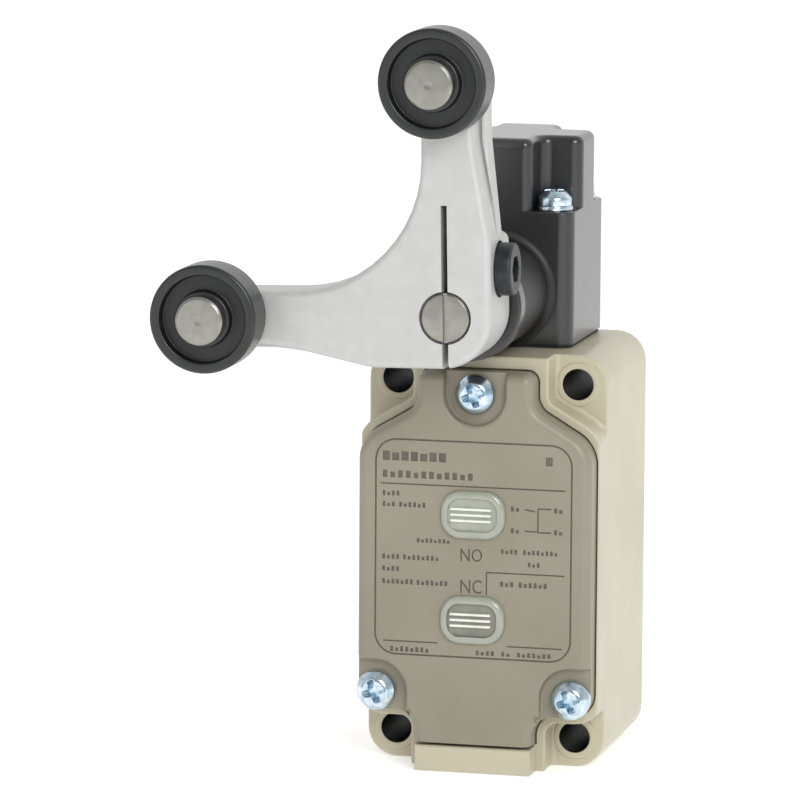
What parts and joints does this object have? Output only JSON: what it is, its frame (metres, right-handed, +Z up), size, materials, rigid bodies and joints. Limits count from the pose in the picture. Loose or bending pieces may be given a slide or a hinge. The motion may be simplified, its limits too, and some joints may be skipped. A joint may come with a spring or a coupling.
{
  "type": "limit switch",
  "caption": "Limit switch with a die-cast body, square head and a two-roller fork lever that flips between two held positions.",
  "frame": {"origin": "centre of the four mounting holes, on the rear mounting face", "axes": "+X to the right seen from the front, +Y to the rear out of the mounting face, +Z up towards the head; the lever is on the -Y side"},
  "size_m": [0.0667, 0.0711, 0.1246],
  "materials": {
    "beige_enamel": "satin",
    "cover_enamel": "satin",
    "charcoal_enamel": "satin",
    "cast_alloy": "satin",
    "plain_steel": "satin",
    "zinc_plate": "gloss",
    "spring_steel": "satin",
    "black_steel": "satin",
    "brass": "satin",
    "black_rubber": "matte",
    "roller_plastic": "satin",
    "phenolic": "satin",
    "ivory_plastic": "satin",
    "window_plastic": "clear",
    "lamp_glass": "clear",
    "resistor_body": "matte"
  },
  "bodies": {
    "housing": {"body_housing": "beige_enamel", "front_cover": "cover_enamel", "cover_gasket": "black_rubber", "cover_screws": "zinc_plate", "lens_upper": "window_plastic", "lens_lower": "window_plastic", "lamp_holder": "ivory_plastic", "neon_lamp": "lamp_glass", "lamp_resistor": "resistor_body", "lamp_springs": "brass", "head_housing": "charcoal_enamel", "head_gasket": "black_rubber", "head_screws": "zinc_plate", "head_washers": "zinc_plate", "front_bush": "brass", "rear_bush": "brass", "shaft_seal": "black_rubber", "plunger_guide": "brass", "plunger_spring": "spring_steel", "detent_spring": "spring_steel", "detent_guide": "ivory_plastic", "switch_case": "phenolic", "switch_cover": "phenolic", "closed_contacts": "brass", "open_contacts": "brass", "bridge_spring": "spring_steel", "terminal_screws": "zinc_plate", "switch_screws": "zinc_plate", "ground_screw": "zinc_plate"},
    "lever": {"operating_shaft": "plain_steel", "position_collar": "charcoal_enamel", "operating_cam": "plain_steel", "detent_drum": "plain_steel", "retaining_ring": "spring_steel", "fork_lever": "cast_alloy", "clamp_bolt": "black_steel", "roller_pins": "plain_steel"},
    "top_roller": {"roller_top": "roller_plastic"},
    "left_roller": {"roller_left": "roller_plastic"},
    "plunger_unit": {"plunger": "plain_steel"},
    "detent_unit": {"detent_plunger": "plain_steel"},
    "button_unit": {"switch_button": "ivory_plastic"},
    "bridge_unit": {"contact_bridge": "brass", "overtravel_spring": "spring_steel"}
  },
  "joints": [
    {"name": "lever_turn", "type": "hinge", "parent": "housing", "child": "lever", "pos_m": [0, -0.03, 0.0437], "axis": [0, 1, 0], "range_deg": [0, 90]},
    {"name": "top_roller_spin", "type": "hinge", "parent": "lever", "child": "top_roller", "pos_m": [-0.00073, -0.0655, 0.08169], "axis": [0, 1, 0], "continuous": true},
    {"name": "left_roller_spin", "type": "hinge", "parent": "lever", "child": "left_roller", "pos_m": [-0.03799, -0.0655, 0.04297], "axis": [0, 1, 0], "continuous": true},
    {"name": "plunger_slide", "type": "slide", "parent": "housing", "child": "plunger_unit", "axis": [0, 0, -1], "range_m": [0, 0.0019], "deforming": ["plunger_spring"]},
    {"name": "button_slide", "type": "slide", "parent": "housing", "child": "button_unit", "axis": [0, 0, -1], "range_m": [0, 0.0019], "deforming": ["overtravel_spring"]},
    {"name": "bridge_slide", "type": "slide", "parent": "housing", "child": "bridge_unit", "axis": [0, 0, -1], "range_m": [0, 0.0013], "deforming": ["bridge_spring"]},
    {"name": "detent_slide", "type": "slide", "parent": "housing", "child": "detent_unit", "axis": [0, 0, -1], "range_m": [0, 0.0012], "stiffness_N_per_m": 60, "springref_m": 0.0012, "deforming": ["detent_spring"]}
  ],
  "couplings": [
    {"joint": "plunger_slide", "follows": "lever_turn", "m_per_rad": 0.0011459},
    {"joint": "button_slide", "follows": "lever_turn", "m_per_rad": 0.0011459},
    {"joint": "bridge_slide", "follows": "lever_turn", "m_per_rad": 0.00076394}
  ]
}
